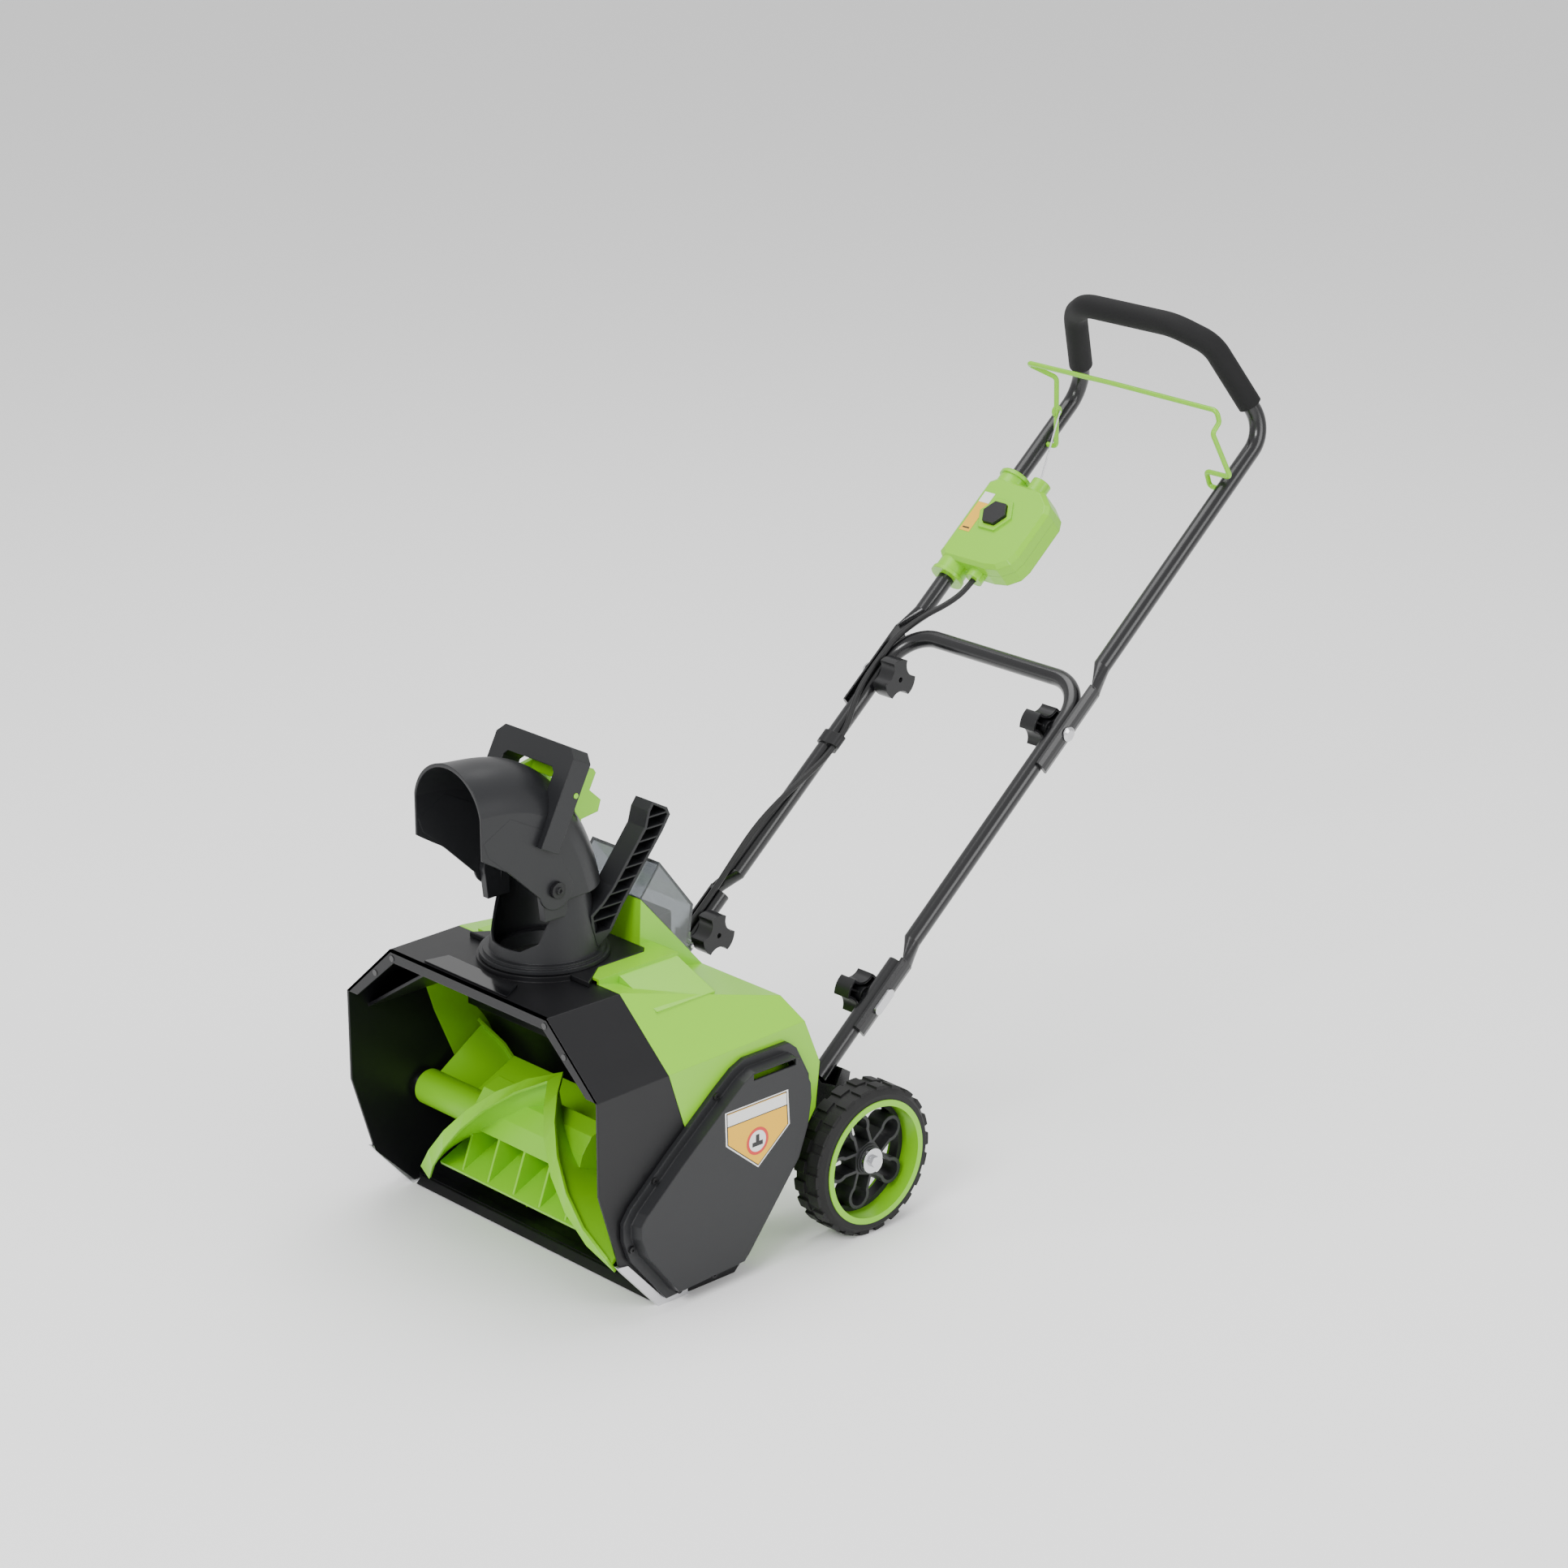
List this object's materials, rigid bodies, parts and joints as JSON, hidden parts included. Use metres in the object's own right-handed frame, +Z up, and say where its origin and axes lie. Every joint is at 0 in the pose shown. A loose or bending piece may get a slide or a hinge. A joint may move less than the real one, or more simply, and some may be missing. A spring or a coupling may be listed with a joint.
{
  "type": "snow thrower",
  "caption": "Walk-behind battery snow thrower: full-width auger in an open housing, turning chute with tilting deflector, folding tube handle with bail lever, two wheels.",
  "frame": {"origin": "middle of the whole footprint, on the ground", "axes": "+X to the machine's left side, +Y back towards the operator's handle, +Z up"},
  "size_m": [0.4824, 1.0958, 0.881],
  "materials": {
    "green_plastic": "satin moulded",
    "auger_green": "moulded",
    "black_plastic": "fine-grain moulded",
    "chute_plastic": "satin moulded",
    "wheel_plastic": "satin moulded",
    "knob_plastic": "satin moulded",
    "tyre_rubber": "blocky tread",
    "black_rubber": "matt",
    "foam": "closed-cell foam",
    "handle_paint": "satin powder coat",
    "screw_steel": "black oxide",
    "bright_steel": "zinc plated",
    "skid_steel": "worn steel",
    "bail_wire": "satin coated",
    "pulleys": "turned",
    "smoked_clear": "smoked clear plastic",
    "battery_case": "satin moulded",
    "latch_green": "satin",
    "contacts": "plated",
    "button_grey": "satin"
  },
  "bodies": {
    "chassis": {"auger_housing": "black_plastic", "rear_shroud": "green_plastic", "side_cover_left": "black_plastic", "side_cover_right": "black_plastic", "cover_screws": "screw_steel", "skid_shoes": "skid_steel", "scraper_bar": "black_rubber", "chute_deck": "black_plastic", "auger_bearings": "bright_steel", "drive_belt": "black_rubber", "motor_stator": "bright_steel", "controller": "black_plastic", "battery_bay": "black_plastic", "bay_terminals": "contacts", "lid_pin": "bright_steel", "wheel_axle": "handle_paint", "handle_brackets": "handle_paint", "lower_tubes": "handle_paint", "lower_bolts": "bright_steel", "cable_lower": "black_rubber", "cable_grommet": "black_rubber"},
    "auger": {"auger_rotor": "auger_green", "auger_shaft": "bright_steel", "driven_pulley": "pulleys"},
    "motor": {"motor_rotor": "bright_steel", "drive_pulley": "pulleys"},
    "wheel_left": {"tyre_left": "tyre_rubber", "rim_left": "green_plastic", "spokes_left": "wheel_plastic", "hub_bolt_left": "bright_steel"},
    "wheel_right": {"tyre_right": "tyre_rubber", "rim_right": "green_plastic", "spokes_right": "wheel_plastic", "hub_bolt_right": "bright_steel"},
    "chute": {"chute_base": "chute_plastic", "chute_lever": "chute_plastic", "deflector_pivots": "black_plastic"},
    "deflector": {"deflector_hood": "chute_plastic", "deflector_loop": "chute_plastic"},
    "trigger": {"deflector_trigger": "green_plastic"},
    "lid": {"battery_lid": "smoked_clear"},
    "battery": {"battery_pack": "battery_case"},
    "latch": {"battery_latch": "latch_green"},
    "mid": {"mid_handle": "handle_paint", "upper_bolts": "bright_steel", "cable_clip": "black_plastic", "cable_mid": "black_rubber"},
    "upper": {"upper_handle": "handle_paint", "foam_grip": "foam", "switch_box_front": "green_plastic", "switch_box_back": "green_plastic", "cable_upper": "black_rubber"},
    "button": {"safety_button": "button_grey"},
    "bail": {"bail_lever": "bail_wire"},
    "link": {"link_rod": "bright_steel"},
    "lower_knob_l": {"lower_knob_left": "knob_plastic"},
    "lower_knob_r": {"lower_knob_right": "knob_plastic"},
    "upper_knob_l": {"upper_knob_left": "knob_plastic"},
    "upper_knob_r": {"upper_knob_right": "knob_plastic"}
  },
  "joints": [
    {"name": "auger_spin", "type": "hinge", "parent": "chassis", "child": "auger", "pos_m": [0, -0.4299, 0.112], "axis": [1, 0, 0], "continuous": true},
    {"name": "motor_spin", "type": "hinge", "parent": "chassis", "child": "motor", "pos_m": [0.15, -0.2759, 0.168], "axis": [1, 0, 0], "continuous": true},
    {"name": "wheel_left_spin", "type": "hinge", "parent": "chassis", "child": "wheel_left", "pos_m": [0.218, -0.1694, 0.0845], "axis": [1, 0, 0], "continuous": true},
    {"name": "wheel_right_spin", "type": "hinge", "parent": "chassis", "child": "wheel_right", "pos_m": [-0.218, -0.1694, 0.0845], "axis": [1, 0, 0], "continuous": true},
    {"name": "chute_turn", "type": "hinge", "parent": "chassis", "child": "chute", "pos_m": [0, -0.4239, 0.33], "axis": [0, 0, 1], "range_deg": [-95, 95]},
    {"name": "deflector_tilt", "type": "hinge", "parent": "chute", "child": "deflector", "pos_m": [0, -0.4513, 0.42], "axis": [1, 0, 0], "range_deg": [0, 38]},
    {"name": "trigger_pull", "type": "hinge", "parent": "deflector", "child": "trigger", "pos_m": [0, -0.4294, 0.5194], "axis": [1, 0, 0], "range_deg": [0, 8], "stiffness_Nm_per_rad": 0.3, "springref_deg": -8.59},
    {"name": "lid_open", "type": "hinge", "parent": "chassis", "child": "lid", "pos_m": [0, -0.2659, 0.306], "axis": [-1, 0, 0], "range_deg": [0, 100]},
    {"name": "battery_eject", "type": "slide", "parent": "chassis", "child": "battery", "axis": [0, 0, 1], "range_m": [0, 0.012]},
    {"name": "mid_fold", "type": "hinge", "parent": "chassis", "child": "mid", "pos_m": [0, -0.07882, 0.2194], "axis": [1, 0, 0], "range_deg": [0, 80], "deforming": ["cable_mid", "cable_lower"]},
    {"name": "upper_fold", "type": "hinge", "parent": "mid", "child": "upper", "pos_m": [0, 0.2081, 0.4593], "axis": [-1, 0, 0], "range_deg": [-120, 0], "deforming": ["cable_upper", "cable_mid"]},
    {"name": "bail_squeeze", "type": "hinge", "parent": "upper", "child": "bail", "pos_m": [0, 0.4781, 0.686], "axis": [1, 0, 0], "range_deg": [-20, 0], "stiffness_Nm_per_rad": 1.2, "springref_deg": 11.46},
    {"name": "link_swing", "type": "hinge", "parent": "bail", "child": "link", "pos_m": [-0.119, 0.4783, 0.729], "axis": [1, 0, 0], "range_deg": [-1, 12]},
    {"name": "button_press", "type": "slide", "parent": "upper", "child": "button", "axis": [0, 0.6414, -0.7672], "range_m": [0, 0.003], "stiffness_N_per_m": 300, "springref_m": -0.002},
    {"name": "lower_knob_left_turn", "type": "hinge", "parent": "chassis", "child": "lower_knob_l", "pos_m": [0.118, -0.07882, 0.2194], "axis": [1, 0, 0], "continuous": true},
    {"name": "lower_knob_right_turn", "type": "hinge", "parent": "chassis", "child": "lower_knob_r", "pos_m": [-0.118, -0.07882, 0.2194], "axis": [1, 0, 0], "continuous": true},
    {"name": "upper_knob_left_turn", "type": "hinge", "parent": "mid", "child": "upper_knob_l", "pos_m": [0.118, 0.2081, 0.4593], "axis": [1, 0, 0], "continuous": true},
    {"name": "upper_knob_right_turn", "type": "hinge", "parent": "mid", "child": "upper_knob_r", "pos_m": [-0.118, 0.2081, 0.4593], "axis": [1, 0, 0], "continuous": true},
    {"name": "latch_press", "type": "slide", "parent": "battery", "child": "latch", "axis": [0, 1, 0], "range_m": [0, 0.004], "stiffness_N_per_m": 200, "springref_m": -0.002}
  ],
  "couplings": [
    {"joint": "motor_spin", "follows": "auger_spin", "ratio": 3.3158},
    {"joint": "link_swing", "follows": "bail_squeeze", "ratio": -0.56}
  ]
}
